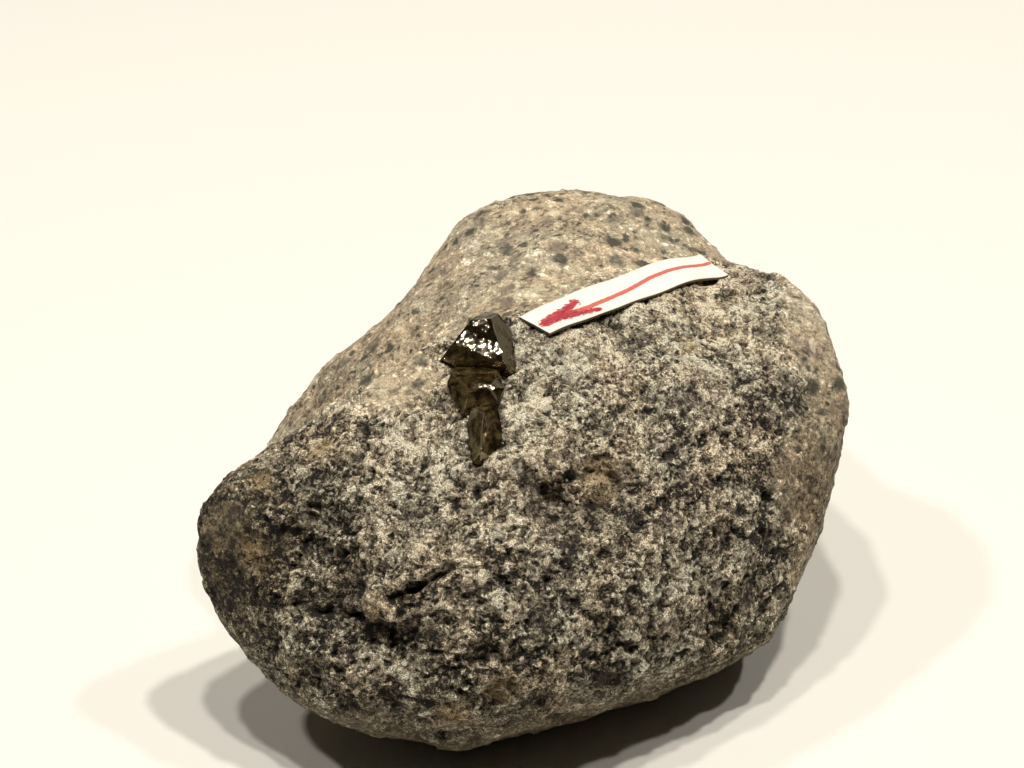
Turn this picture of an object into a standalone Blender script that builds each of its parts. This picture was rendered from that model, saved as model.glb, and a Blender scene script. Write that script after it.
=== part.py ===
"""A brown diamond grown in a kimberlite cobble, with a paper pointer strip glued on the stone.

Metres, +Z up, resting on the flat of the stone's underside at z = 0. The front face, with the diamond in it, looks
along -Y, the nose of the cobble points along -X, and the back lobe lies on the +Y side behind a shallow valley.
"""

import bmesh
import bpy
from mathutils import Matrix, Vector

MM = 0.001

# The cobble, in millimetres: two rough blocks, given by the corners of their flats, are run together and worn round.
FRONT_BLOCK = {
    "nose_tip": (-42, -15, 26),
    "nose_top": (-37.5, -12.5, 29.5),
    "nose_under": (-40, -20, 18),
    "nose_foot": (-35, -23, 12),
    "ridge_low": (-31, -8, 32),
    "ridge_middle": (-17, -2, 40),
    "ridge_high": (-8, 2, 43),
    "crest_front": (3, 3, 43),
    "crest_back": (26, 24, 38.4),
    "shoulder": (34.8, 28, 38.2),
    "side_top": (39.6, 12, 36),
    "side_middle": (42.5, 6, 30),
    "side_low": (35.5, -2, 19),
    "side_foot": (33, -16, 7),
    "forehead_left": (-24, -19, 33),
    "forehead_middle": (-4, -17, 39.5),
    "forehead_right": (16, -13, 39),
    "forehead_end": (30, 0, 36),
    "brow_left": (-24, -28, 25),
    "brow_middle": (-5, -31, 27),
    "brow_right": (14, -27, 27),
    "brow_end": (31, -12, 26),
    "belly_left": (-22, -33.5, 14),
    "belly_middle": (-6, -37, 14),
    "belly_right": (11, -32, 14),
    "belly_end": (27, -20, 15),
    "chin_left": (-29, -26, 6),
    "chin_middle": (-10, -31, 2),
    "chin_right": (19, -22.5, 3.5),
    "foot_left": (-18, -17, -3),
    "foot_front": (8, -17, -3),
    "foot_right": (26, -4, -3),
    "foot_back": (14, 14, -3),
    "foot_inner": (-14, 8, -3),
    "heel": (32, 14, 8),
}
BACK_BLOCK = {
    "left_tip": (-35, 12, 15),
    "left_low": (-29, 19, 19.5),
    "left_middle": (-22.5, 25, 27),
    "left_waist": (-14.5, 29.3, 33),
    "left_high": (-12.2, 33.5, 37.6),
    "top_left": (-6, 37, 40),
    "top_middle": (5, 37, 41.5),
    "top_right": (20, 38.5, 40.8),
    "right_tip": (25, 34, 34.5),
    "right_notch": (30, 28, 32),
    "crown_front": (6, 20, 43),
    "crown_left": (-6, 16, 40),
    "saddle_low": (-30, 2, 20),
    "saddle_left": (-21, 3, 29),
    "saddle_high": (-10, 5, 36),
    "bridge_left": (2, 4, 41),
    "bridge_right": (24, 22, 38),
    "back_high": (2, 47, 29),
    "back_right": (22, 43, 22),
    "back_left": (-20, 36, 16),
    "back_low": (4, 43, 8),
    "foot_left": (-22, 10, -1),
    "foot_back": (0, 30, -3),
    "foot_right": (22, 24, -1),
    "heart_left": (-31, -2, 12),
    "heart_right": (30, 4, 16),
    "heart_low": (0, -10, 2),
}
GRAIN = 1.5 * MM
WEAR_PASSES = 16, 24
WEAR_DEPTH = 1.2 * MM
LUMPS = {"broad": (16, 2.4), "small": (5.5, 0.9)}

# Where the worn block was pushed in or left standing: the place, the reach and the shift, in millimetres.
PUSHES = {
    "waist": ((-17, 28, 32), 15, (2.0, -1.2, -1.2)),
    "left_low": ((-34, 12, 17), 10, (-1.5, -1.0, -0.5)),
    "lump_over_crack": ((-13.3, -26.6, 27.2), 6.5, (-0.3, -1.2, 0.6)),
    "hollow_by_lump": ((-20.5, -25.8, 25.3), 6, (0.4, 1.6, -1.0)),
    "hollow_upper": ((-21.9, -21.7, 29.6), 4, (0.2, 0.9, -0.9)),
    "hollow_by_nose": ((-25.2, -23, 27.3), 4.5, (0.3, 1.1, -1.0)),
    "toe_lump": ((-16.1, -28.5, 23.3), 3.5, (-0.2, -1.1, 0.6)),
    "hollow_below": ((-17, -29, 19.8), 5.5, (0.2, 1.2, -0.2)),
    "hollow_middle": ((3.9, -22.2, 31.8), 5, (-0.1, 0.9, -1.0)),
    "hollow_right": ((11.3, -18.8, 32.7), 5, (-0.2, 0.9, -1.0)),
    "hollow_crest": ((-0.5, -11.5, 39.2), 4, (0.0, 0.4, -0.7)),
    "crystal_seat": ((-5.6, -5.4, 40.2), 6.5, (0.0, 0.3, -2.6)),
    "label_slope": ((24.5, 21, 38.5), 11.5, (0.0, 0.0, -1.9)),
    "terrace": ((-25, -12, 32.6), 7, (0.2, 0.3, -0.8)),
}
TRIANGLE_SHARE = 0.4
BASE_HEIGHT = -0.9 * MM

# Cracks under the two lumps low on the front: the corners of the wedges cut out, in millimetres.
CRACKS = {
    "ledge_crack": {
        "left": (-15.2, -28.9, 24.6),
        "right": (-8.0, -28.1, 28.2),
        "lip_top": (-11.9, -29.2, 27.4),
        "lip_bottom": (-11.2, -29.9, 26.3),
        "inner": (-11.1, -25.9, 25.6),
    },
    "toe_crack": {
        "left": (-21.6, -28.1, 22.2),
        "right": (-14.4, -30.1, 21.5),
        "lip_top": (-18.4, -29.7, 22.8),
        "lip_bottom": (-18.7, -30.1, 21.6),
        "inner": (-17.6, -26.4, 22.1),
    },
}

# The upper diamond crystal, an octahedron with its top and right corner cut off: each face's direction and one
# point on it, in millimetres. The two smaller crystals under it are given by their corners.
CRYSTAL_FACES = {
    "front": ((-0.423, -0.443, 0.790), (-9.2, -3.8, 39.6)),
    "right": ((0.686, -0.129, 0.716), (-3.5, -1.8, 43.8)),
    "top": ((-0.191, 0.289, 0.938), (-3.5, -1.8, 43.8)),
    "back_left": ((-0.772, 0.563, 0.294), (-9.2, -3.8, 39.6)),
    "back_right": ((0.676, 0.714, 0.183), (-1.3, -1.1, 41.9)),
    "right_end": ((0.995, 0.090, 0.000), (-1.3, -1.1, 41.9)),
    "front_low": ((-0.356, -0.894, -0.270), (-2.1, -7.2, 41.5)),
    "right_low": ((0.289, -0.957, 0.017), (-2.1, -7.2, 41.5)),
    "back_low": ((0.100, 0.850, -0.520), (-3.0, 3.2, 39.0)),
    "bottom": ((0.000, 0.000, -1.000), (-4.0, -3.0, 35.2)),
}
MIDDLE_CRYSTAL = {
    "back_left": (-7.9, -7.6, 40.3),
    "back_right": (-2.8, -8.6, 40.4),
    "right": (-2.1, -10.5, 40.0),
    "right_front": (-2.8, -12.1, 39.3),
    "front": (-6.5, -13.5, 38.6),
    "left_front": (-7.8, -11.1, 39.3),
    "left": (-8.3, -9.3, 39.8),
    "ridge": (-3.7, -11.7, 41.0),
    "slope": (-5.8, -12.1, 40.5),
    "join_left": (-7.4, -3.6, 38.8),
    "join_right": (-2.8, -5.6, 39.9),
    "root_left": (-7.0, -4.6, 36.6),
    "root_right": (-2.8, -5.2, 36.6),
    "root_front": (-2.9, -11.0, 36.5),
    "root_end": (-6.3, -12.4, 36.2),
}
LOWER_CRYSTAL = {
    "top_left": (-5.5, -13.2, 39.2),
    "top_right": (-3.0, -12.9, 39.7),
    "right": (-2.4, -15.1, 38.4),
    "right_low": (-2.3, -17.0, 37.5),
    "foot_right": (-3.7, -18.6, 36.6),
    "foot": (-4.7, -19.3, 35.9),
    "foot_left": (-5.4, -19.1, 36.0),
    "left_low": (-5.4, -17.1, 37.2),
    "left": (-6.0, -14.8, 38.2),
    "ridge_top": (-4.2, -15.1, 39.8),
    "ridge": (-3.8, -17.3, 38.4),
    "ridge_low": (-4.5, -18.8, 37.2),
    "join": (-4.4, -11.4, 38.9),
    "root_left": (-5.4, -11.4, 36.4),
    "root_right": (-3.4, -11.0, 36.6),
    "root_low": (-3.2, -16.8, 34.6),
    "root_foot": (-4.9, -17.6, 34.2),
}
POCKET_GAP = 0.3 * MM

# The card strip laid over the crest: the middles of its ends seen from above, and its width at each.
LABEL_ENDS = (1.5, -0.3), (23.9, 21.3)
LABEL_WIDTHS = 5.0, 5.9
LABEL_END_SLANT = 1.3
LABEL_THICKNESS = 0.3 * MM
LABEL_LIFT = 0.6 * MM

COLOURS = {
    "kimberlite": ((0.150, 0.138, 0.118), 0.85),
    "diamond": ((0.060, 0.045, 0.020), 0.05),
    "label card": ((0.840, 0.810, 0.720), 0.80),
}


def clear_scene():
    for old in list(bpy.data.objects):
        bpy.data.objects.remove(old)


def collection(name):
    made = bpy.data.collections.new(name)
    bpy.context.scene.collection.children.link(made)
    return made


def object_from(bm, name, into):
    mesh = bpy.data.meshes.new(name)
    bm.to_mesh(mesh)
    bm.free()
    made = bpy.data.objects.new(name, mesh)
    into.objects.link(made)
    return made


def hull(name, corners, into):
    """The convex block with these corners, given in millimetres."""
    bm = bmesh.new()
    points = [bm.verts.new(Vector(corner) * MM) for corner in corners.values()]
    made = bmesh.ops.convex_hull(bm, input=points)
    inner = [v for v in made["geom_interior"] if isinstance(v, bmesh.types.BMVert)]
    bmesh.ops.delete(bm, geom=inner, context="VERTS")
    bmesh.ops.recalc_face_normals(bm, faces=bm.faces)
    return object_from(bm, name, into)


def modified_mesh(obj):
    """A new mesh of the object with its modifiers applied."""
    bpy.context.view_layer.update()
    graph = bpy.context.evaluated_depsgraph_get()
    return bpy.data.meshes.new_from_object(obj.evaluated_get(graph))


def hide(obj):
    obj.hide_render = True
    obj.display_type = "WIRE"


def push(bm, place, reach, shift):
    """Moves the surface near a place, most at the middle and nothing at the reach."""
    for vert in bm.verts:
        away = (vert.co - Vector(place) * MM).length / (reach * MM)
        if away < 1:
            vert.co += Vector(shift) * MM * (1 - away * away) ** 2


def add_remesh(obj):
    fuse = obj.modifiers.new("fuse", "REMESH")
    fuse.mode = "VOXEL"
    fuse.voxel_size = GRAIN


def add_wear(obj, passes):
    wear = obj.modifiers.new("wear round", "SMOOTH")
    wear.factor = 0.5
    wear.iterations = passes


def add_lumps(obj, name, size, height):
    """Soft natural lumps and hollows of about this size and height, in millimetres."""
    pattern = bpy.data.textures.new(name, "CLOUDS")
    pattern.noise_scale = size * MM
    pattern.noise_depth = 1
    lumps = obj.modifiers.new(name, "DISPLACE")
    lumps.texture = pattern
    lumps.strength = height * MM


def cut_by_plane(bm, normal, place):
    """Cuts away what lies outside the plane and closes the cut with a flat face."""
    whole = bm.verts[:] + bm.edges[:] + bm.faces[:]
    cut = bmesh.ops.bisect_plane(bm, geom=whole, dist=1e-8, plane_co=place, plane_no=normal, clear_outer=True)
    rim = [edge for edge in cut["geom_cut"] if isinstance(edge, bmesh.types.BMEdge)]
    bmesh.ops.holes_fill(bm, edges=rim)


def crystal(name, faces, into):
    """The closed body inside these face planes, cut from a large cube. Places are in metres."""
    middle = sum((place for _, place in faces), Vector()) / len(faces)
    bm = bmesh.new()
    bmesh.ops.create_cube(bm, size=60 * MM, matrix=Matrix.Translation(middle))
    for normal, place in faces:
        cut_by_plane(bm, normal, place)
    bmesh.ops.recalc_face_normals(bm, faces=bm.faces)
    return object_from(bm, name, into)


def grown(obj, gap, into):
    """The convex body with each face moved out by the gap."""
    faces = [(face.normal.copy(), face.center + face.normal * gap) for face in obj.data.polygons]
    return crystal(obj.name + "_room", faces, into)


def add_boolean(obj, operation, other):
    step = obj.modifiers.new(operation.lower() + " " + other.name, "BOOLEAN")
    step.operation = operation
    step.object = other
    step.solver = "EXACT"
    hide(other)


def make_diamond(parts, helpers):
    """The three intergrown crystals joined in one solid, and the room that each takes in the stone."""
    faces = [(Vector(normal).normalized(), Vector(place) * MM) for normal, place in CRYSTAL_FACES.values()]
    diamond = crystal("diamond", faces, parts)
    middle = hull("middle_crystal", MIDDLE_CRYSTAL, helpers)
    lower = hull("lower_crystal", LOWER_CRYSTAL, helpers)
    rooms = [grown(piece, POCKET_GAP, helpers) for piece in (diamond, middle, lower)]
    add_boolean(diamond, "UNION", middle)
    add_boolean(diamond, "UNION", lower)
    return diamond, rooms


def make_stone(parts, helpers, rooms):
    rough = hull("front_block", FRONT_BLOCK, helpers)
    back = hull("back_block", BACK_BLOCK, helpers)
    add_boolean(rough, "UNION", back)
    add_remesh(rough)
    add_wear(rough, WEAR_PASSES[0])
    worn = rough.modifiers.new("worn away", "DISPLACE")
    worn.strength = -WEAR_DEPTH
    worn.mid_level = 0
    add_remesh(rough)
    add_wear(rough, WEAR_PASSES[1])
    for name, (size, height) in LUMPS.items():
        add_lumps(rough, name, size, height)
    hide(rough)

    bm = bmesh.new()
    bm.from_mesh(modified_mesh(rough))
    for place, reach, shift in PUSHES.values():
        push(bm, place, reach, shift)
    stone = object_from(bm, "kimberlite_stone", parts)
    thin = stone.modifiers.new("fewer faces", "DECIMATE")
    thin.ratio = TRIANGLE_SHARE

    ground = bmesh.new()
    below = Matrix.Translation((0, 0, BASE_HEIGHT - 50 * MM))
    bmesh.ops.create_cube(ground, size=1, matrix=below @ Matrix.Diagonal((0.2, 0.2, 0.1, 1)))
    add_boolean(stone, "DIFFERENCE", object_from(ground, "ground", helpers))
    for name, corners in CRACKS.items():
        add_boolean(stone, "DIFFERENCE", hull(name, corners, helpers))
    for room in rooms:
        add_boolean(stone, "DIFFERENCE", room)
    return stone


def make_label(parts, stone):
    """A thin strip let down on the stone from above, so that it follows the crest, and stiff enough to span its grain."""
    start, end = (Vector((x, y, 60)) * MM for x, y in LABEL_ENDS)
    along = (end - start).normalized()
    side = Vector((-along.y, along.x, 0))
    bm = bmesh.new()
    bmesh.ops.create_grid(bm, x_segments=48, y_segments=8, size=0.5)
    for vert in bm.verts:
        u = vert.co.x + 0.5
        v = vert.co.y
        width = (LABEL_WIDTHS[0] * (1 - u) + LABEL_WIDTHS[1] * u) * MM
        vert.co = start.lerp(end, u) + side * v * width + along * v * u ** 3 * LABEL_END_SLANT * MM
    label = object_from(bm, "pointer_label", parts)
    laid = label.modifiers.new("laid on stone", "SHRINKWRAP")
    laid.target = stone
    laid.wrap_method = "PROJECT"
    laid.use_project_z = True
    laid.use_negative_direction = True
    laid.use_positive_direction = False
    laid.offset = LABEL_LIFT
    stiff = label.modifiers.new("stiff card", "SMOOTH")
    stiff.use_x = False
    stiff.use_y = False
    stiff.iterations = 30
    thick = label.modifiers.new("card", "SOLIDIFY")
    thick.thickness = LABEL_THICKNESS
    thick.offset = 1
    return label


def paint(obj, name):
    colour, roughness = COLOURS[name]
    material = bpy.data.materials.new(name)
    material.use_nodes = True
    shader = material.node_tree.nodes["Principled BSDF"]
    shader.inputs["Base Color"].default_value = (*colour, 1)
    shader.inputs["Roughness"].default_value = roughness
    shader.inputs["Metallic"].default_value = 0
    obj.data.materials.append(material)


def stand_on_origin(parts):
    """Moves everything so that the middle of the box's underside is the origin."""
    low = Vector((1, 1, 1))
    high = -low
    for obj in parts.objects:
        for vert in modified_mesh(obj).vertices:
            low = Vector(map(min, low, vert.co))
            high = Vector(map(max, high, vert.co))
    middle = (low + high) / 2
    for obj in bpy.data.objects:
        obj.location = (-middle.x, -middle.y, -low.z)


def main():
    clear_scene()
    parts = collection("diamond in kimberlite")
    helpers = collection("helpers")
    diamond, rooms = make_diamond(parts, helpers)
    stone = make_stone(parts, helpers, rooms)
    label = make_label(parts, stone)
    paint(stone, "kimberlite")
    paint(diamond, "diamond")
    paint(label, "label card")
    stand_on_origin(parts)


main()
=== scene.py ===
# Brown diamond crystals in a kimberlite cobble, with a card strip pointing at them.
import math

import bmesh
import bpy
import numpy as np
from mathutils import Matrix, Vector, noise
from mathutils.bvhtree import BVHTree


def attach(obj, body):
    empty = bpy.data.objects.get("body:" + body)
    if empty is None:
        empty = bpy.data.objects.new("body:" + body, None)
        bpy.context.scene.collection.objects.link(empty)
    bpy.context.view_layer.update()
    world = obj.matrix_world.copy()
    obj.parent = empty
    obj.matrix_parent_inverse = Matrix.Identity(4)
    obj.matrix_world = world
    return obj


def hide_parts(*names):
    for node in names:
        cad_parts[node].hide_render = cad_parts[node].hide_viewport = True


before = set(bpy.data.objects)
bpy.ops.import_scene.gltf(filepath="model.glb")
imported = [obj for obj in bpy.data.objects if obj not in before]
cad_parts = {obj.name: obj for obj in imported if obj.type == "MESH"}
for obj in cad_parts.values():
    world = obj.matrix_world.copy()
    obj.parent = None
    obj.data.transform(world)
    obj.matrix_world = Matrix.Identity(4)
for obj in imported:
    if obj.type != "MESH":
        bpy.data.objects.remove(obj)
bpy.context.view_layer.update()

mm = 0.001
noise.seed_set(5)       # the vector noise takes its offsets from this, and from the clock without it

print("camera")

cameraSet = {
    "eye": (-0.0022, -0.2430, 0.1892),
    "lookAt": (-0.0022, 0.0003, 0.0312),
    "lens": 85,
    "sensor": 36,
    "clip": (0.01, 10),
    "frame": (1024, 768),
}


def lookingAt(spot, target):
    # the placing of a camera or a lamp at a spot, turned to the target
    turn = (target - spot).to_track_quat("-Z", "Y")
    return Matrix.Translation(spot) @ turn.to_matrix().to_4x4()


def makeCamera(settings):
    data = bpy.data.cameras.new("photoCamera")
    data.lens = settings["lens"]
    data.sensor_width = settings["sensor"]
    data.clip_start, data.clip_end = settings["clip"]
    camera = bpy.data.objects.new("photoCamera", data)
    bpy.context.scene.collection.objects.link(camera)
    camera.matrix_world = lookingAt(Vector(settings["eye"]), Vector(settings["lookAt"]))
    bpy.context.scene.camera = camera
    return camera


camera = makeCamera(cameraSet)
bpy.context.view_layer.update()


def seenAt(tree, pixel):
    # the place, in mm, where the line of sight through a pixel of the photo's frame meets a surface
    width, height = cameraSet["frame"]
    focal = cameraSet["lens"] / cameraSet["sensor"] * width
    sight = Vector(((pixel[0] - width / 2) / focal, -(pixel[1] - height / 2) / focal, -1))
    look = (camera.matrix_world.to_3x3() @ sight).normalized()
    place = tree.ray_cast(camera.matrix_world.translation, look)[0]
    return np.array(place) / mm


# node helpers

def newMaterial(name):
    material = bpy.data.materials.new(name)
    material.use_nodes = True
    tree = material.node_tree
    tree.nodes.clear()
    output = tree.nodes.new("ShaderNodeOutputMaterial")
    shader = tree.nodes.new("ShaderNodeBsdfPrincipled")
    tree.links.new(shader.outputs[0], output.inputs[0])
    return material, tree, shader


def put(tree, socket, value):
    if isinstance(value, bpy.types.NodeSocket):
        tree.links.new(value, socket)
    elif isinstance(value, tuple) and len(value) == 3 and socket.type == "RGBA":
        socket.default_value = (*value, 1)
    else:
        socket.default_value = value


def calc(tree, operation, first, second=0.0, third=None):
    made = tree.nodes.new("ShaderNodeMath")
    made.operation = operation
    put(tree, made.inputs[0], first)
    put(tree, made.inputs[1], second)
    if third is not None:
        put(tree, made.inputs[2], third)
    return made.outputs[0]


def times(tree, first, second):
    return calc(tree, "MULTIPLY", first, second)


def centred(tree, value, amount):
    # a value around a half as one around zero, times the amount
    return times(tree, calc(tree, "SUBTRACT", value, 0.5), amount)


def weighted(tree, values, weights):
    # the sum of the named values, each times its weight
    total = 0.0
    for name, weight in weights.items():
        total = calc(tree, "MULTIPLY_ADD", values[name], weight, total)
    return total


def between(tree, value, low, high, toLow=0.0, toHigh=1.0):
    # a soft step from toLow at low to toHigh at high
    made = tree.nodes.new("ShaderNodeMapRange")
    made.interpolation_type = "SMOOTHSTEP"
    put(tree, made.inputs["Value"], value)
    made.inputs["From Min"].default_value = low
    made.inputs["From Max"].default_value = high
    made.inputs["To Min"].default_value = toLow
    made.inputs["To Max"].default_value = toHigh
    return made.outputs["Result"]


def blendColours(tree, amount, first, second, mode="MIX"):
    made = tree.nodes.new("ShaderNodeMix")
    made.data_type = "RGBA"
    made.blend_type = mode
    put(tree, made.inputs["Factor"], amount)
    put(tree, made.inputs[6], first)
    put(tree, made.inputs[7], second)
    return made.outputs[2]


def vectorMath(tree, operation, first, second):
    made = tree.nodes.new("ShaderNodeVectorMath")
    made.operation = operation
    put(tree, made.inputs[0], first)
    put(tree, made.inputs["Scale" if operation == "SCALE" else 1], second)
    return made.outputs["Value" if operation in ("DOT_PRODUCT", "DISTANCE") else "Vector"]


def inMillimetres(tree):
    place = tree.nodes.new("ShaderNodeTexCoord").outputs["Object"]
    return vectorMath(tree, "SCALE", place, 1 / mm)


def noiseNode(tree, place, scale, detail=2.0, roughness=0.5, output="Fac"):
    made = tree.nodes.new("ShaderNodeTexNoise")
    put(tree, made.inputs["Vector"], place)
    made.inputs["Scale"].default_value = scale
    made.inputs["Detail"].default_value = detail
    made.inputs["Roughness"].default_value = roughness
    return made.outputs[output]


def cellsNode(tree, place, scale):
    made = tree.nodes.new("ShaderNodeTexVoronoi")
    put(tree, made.inputs["Vector"], place)
    made.inputs["Scale"].default_value = scale
    return made


def warped(tree, place, scale, amount):
    # the place pushed about by noise, so that cells and spots get ragged edges
    push = noiseNode(tree, place, scale, output="Color")
    push = vectorMath(tree, "SUBTRACT", push, (0.5, 0.5, 0.5))
    return vectorMath(tree, "ADD", place, vectorMath(tree, "SCALE", push, amount))


def waveNode(tree, place, wave):
    offset, scale, detail, roughness = wave
    return noiseNode(tree, vectorMath(tree, "ADD", place, offset), scale, detail, roughness)


def separated(tree, colour, channel):
    made = tree.nodes.new("ShaderNodeSeparateColor")
    put(tree, made.inputs[0], colour)
    return made.outputs[channel]


def separatedPlace(tree, place, axis):
    made = tree.nodes.new("ShaderNodeSeparateXYZ")
    put(tree, made.inputs[0], place)
    return made.outputs[axis]


def attribute(tree, name):
    made = tree.nodes.new("ShaderNodeAttribute")
    made.attribute_name = name
    return made.outputs["Fac"]


def surfaceNormal(tree):
    return tree.nodes.new("ShaderNodeNewGeometry").outputs["Normal"]


def bumpNode(tree, height, distance, strength=1.0, normal=None):
    made = tree.nodes.new("ShaderNodeBump")
    made.inputs["Strength"].default_value = strength
    made.inputs["Distance"].default_value = distance
    put(tree, made.inputs["Height"], height)
    if normal is not None:
        put(tree, made.inputs["Normal"], normal)
    return made.outputs[0]


# mesh helpers

def nodeCopy(name):
    # a merged copy of a CAD node's mesh
    bm = bmesh.new()
    bm.from_mesh(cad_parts[name].data)
    bmesh.ops.remove_doubles(bm, verts=bm.verts, dist=0.001 * mm)
    return bm


def pieceFrom(bm, name):
    mesh = bpy.data.meshes.new(name)
    bm.to_mesh(mesh)
    bm.free()
    piece = bpy.data.objects.new(name, mesh)
    bpy.context.scene.collection.objects.link(piece)
    return piece


def bakeModifiers(piece):
    # the piece's mesh with its modifiers applied and removed
    bpy.context.view_layer.update()
    graph = bpy.context.evaluated_depsgraph_get()
    mesh = bpy.data.meshes.new_from_object(piece.evaluated_get(graph))
    piece.modifiers.clear()
    old = piece.data
    piece.data = mesh
    bpy.data.meshes.remove(old)
    return piece


def writeLayer(mesh, name, values):
    layer = mesh.attributes.new(name, "FLOAT", "POINT")
    layer.data.foreach_set("value", values.astype(np.float32))


def smoothstep(low, high, value):
    share = min(max((value - low) / (high - low), 0), 1)
    return share * share * (3 - 2 * share)


def awayFromLine(places, first, second):
    # distance of each place, in mm, from a straight line between two points
    start = np.array(first)
    along = np.array(second) - start
    share = np.clip((places - start) @ along / (along @ along), 0, 1)
    return np.linalg.norm(places - start - share[:, None] * along, axis=1)


print("diamond")

diamondSet = {
    "fit": 0.15,            # mm that each crystal is larger than its plain solid, into the pocket's clearance
    "longest": 0.308,       # mm, of an edge on the facets
    "sharpAngle": 12,       # degrees between faces that meet in a crystal edge
    "edgeWear": (1.3, 0.05),            # noise per mm, and the depth in mm
    "stepNoise": (0.55, (4, 9, 2)),     # growth steps follow this noise: per mm, and its offset
    "stepCount": 4,         # growth steps for each unit of the noise
    "stepFlat": 0.75,       # of each step's width, before it rises to the next
    "stepDepth": 0.0175,    # mm from one growth step to the next
    "rippleDepth": 0.055,   # mm that broken places are sunk
    "rippleUneven": (2.3, 1.6),         # noise per mm, and how far it changes that depth
    "rippleRagged": (1.6, 0.55),        # noise per mm, and how many radii it moves the border
    "rippleReach": 1.25,    # radii to the outer border
    "rippleEdge": 3,        # steepness of that border
    "ripples": {            # broken growth steps on the front facet: two ends in mm and a radius
        "band": ((-7.7, -7.8, 42.6), (-4.1, -10.8, 42.7), 0.75),
        "top": ((-6.1, -6.7, 44.1), (-5.5, -6.5, 44.3), 0.45),
        "ledge": ((-6.2, -16.2, 41.6), (-4.5, -16.6, 41.8), 0.40),
    },
}


def grownCrystals(name, growth):
    # the plain crystals with every facet moved out by so many mm
    bm = nodeCopy("diamond")
    bmesh.ops.recalc_face_normals(bm, faces=bm.faces)
    piece = pieceFrom(bm, name)
    grow = piece.modifiers.new("grow", "DISPLACE")
    grow.strength = growth * mm
    grow.mid_level = 0
    return bakeModifiers(piece)


def splitLongEdges(bm, longest):
    # a triangle has one edge split or all three, so that each split leaves only sound triangles
    while True:
        long = {edge for edge in bm.edges if edge.calc_length() > longest}
        if not long:
            return
        uneven = True
        while uneven:
            uneven = [face for face in bm.faces if sum(edge in long for edge in face.edges) == 2]
            for face in uneven:
                long.update(face.edges)
        chosen = [edge for edge in bm.edges if edge in long]
        bmesh.ops.subdivide_edges(bm, edges=chosen, cuts=1, use_grid_fill=True, use_single_edge=True)


def markCrystalEdges(bm, sharp):
    # shades the facets smooth up to the crystal edges, and returns the points on those edges
    corners = set()
    for edge in bm.edges:
        edge.smooth = edge.calc_face_angle(0) < sharp
        if not edge.smooth:
            corners.update(edge.verts)
    for face in bm.faces:
        face.smooth = True
    bm.normal_update()
    return corners


def ripplesAt(places, settings):
    # 1 in the broken places of the facets, and 0 away from them
    scale, amount = settings["rippleRagged"]
    ragged = amount * np.array([noise.noise(Vector(p) * scale) for p in places])
    ripple = np.zeros(len(places))
    for first, second, radius in settings["ripples"].values():
        away = awayFromLine(places, first, second) / radius + ragged
        edge = (settings["rippleReach"] - away) * settings["rippleEdge"]
        ripple = np.maximum(ripple, np.clip(edge, 0, 1))
    return ripple


def facetDepth(p, ripple, settings):
    # how far a point on a facet is sunk, in mm, by growth steps and by breakage
    scale, offset = settings["stepNoise"]
    level = noise.noise(p * scale + Vector(offset)) * settings["stepCount"]
    whole = math.floor(level)
    step = whole + smoothstep(settings["stepFlat"], 1.0, level - whole)
    scale, amount = settings["rippleUneven"]
    broken = ripple * settings["rippleDepth"] * (1 + amount * noise.noise(p * scale))
    return settings["stepDepth"] * (step + 2) + broken


def makeDiamond(settings):
    piece = grownCrystals("diamondCrystals", settings["fit"])
    bm = bmesh.new()
    bm.from_mesh(piece.data)
    splitLongEdges(bm, settings["longest"] * mm)
    corners = markCrystalEdges(bm, math.radians(settings["sharpAngle"]))
    places = np.array([v.co for v in bm.verts]) / mm
    ripple = ripplesAt(places, settings)
    wearScale, wearDepth = settings["edgeWear"]
    moves = []
    for i, v in enumerate(bm.verts):
        p = Vector(places[i])
        if v in corners:
            depth = wearDepth * noise.noise(p * wearScale)
        else:
            depth = facetDepth(p, ripple[i], settings)
        moves.append(v.co - v.normal * max(depth, 0) * mm)
    for v, place in zip(bm.verts, moves):
        v.co = place
    bm.to_mesh(piece.data)
    bm.free()
    writeLayer(piece.data, "ripple", ripple)
    print("diamond triangles", len(piece.data.polygons))
    return piece


diamond = makeDiamond(diamondSet)

print("kimberlite")

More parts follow.
